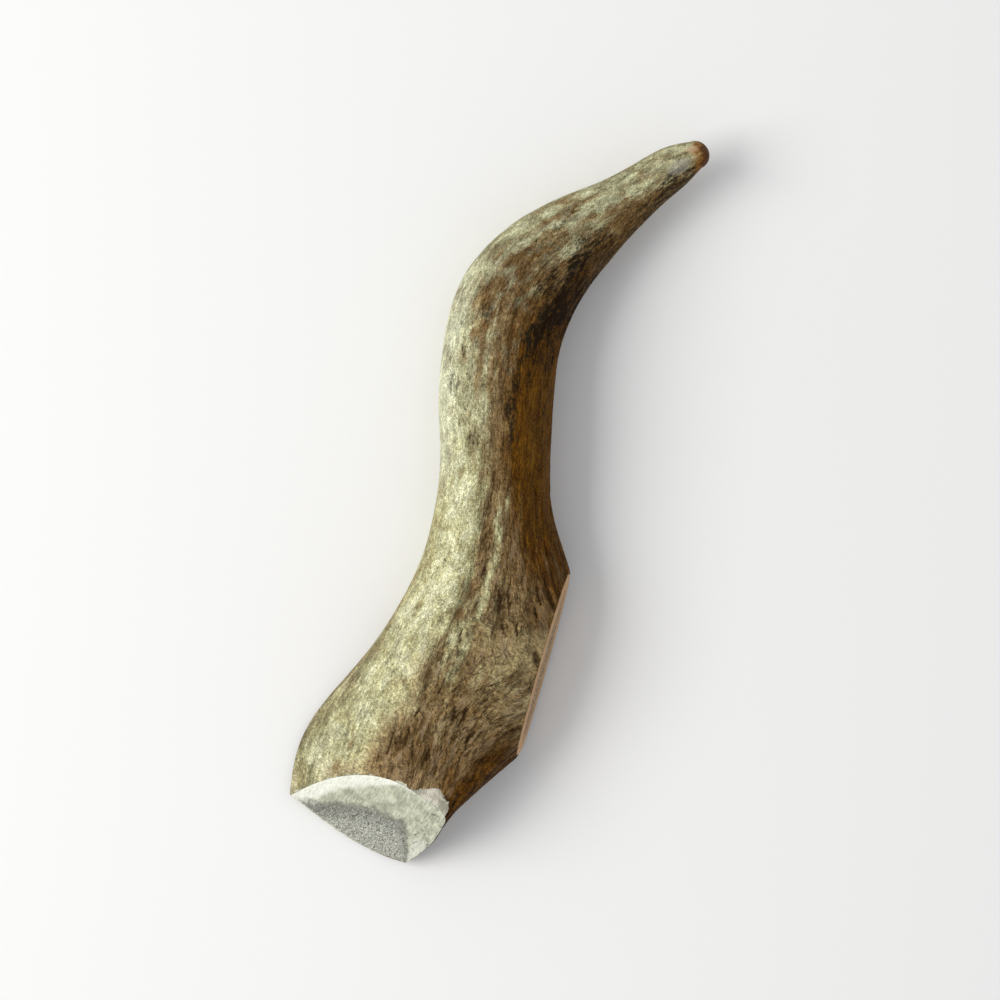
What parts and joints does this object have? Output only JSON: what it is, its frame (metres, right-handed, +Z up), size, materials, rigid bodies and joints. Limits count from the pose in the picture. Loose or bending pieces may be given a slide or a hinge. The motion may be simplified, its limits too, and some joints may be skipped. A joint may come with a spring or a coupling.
{
  "type": "deer antler piece",
  "caption": "Sawn piece of deer antler: a curved tine tapering to a worn point, with the stub of beam it grew from, a slanted saw cut at the base and an upright one at the fork.",
  "frame": {"origin": "centre of the bounding box in plan, on the surface the piece lies on", "axes": "+Y along the length from the sawn end to the point; +X towards the sawn fork; +Z up from the surface it lies on"},
  "size_m": [0.0589, 0.1723, 0.0228],
  "materials": {
    "antler": "natural antler: cream to dark brown, fine pores and furrows along the grain, satin where worn; pale and matt where sawn"
  },
  "bodies": {
    "root": {"antler": "antler"}
  },
  "joints": []
}
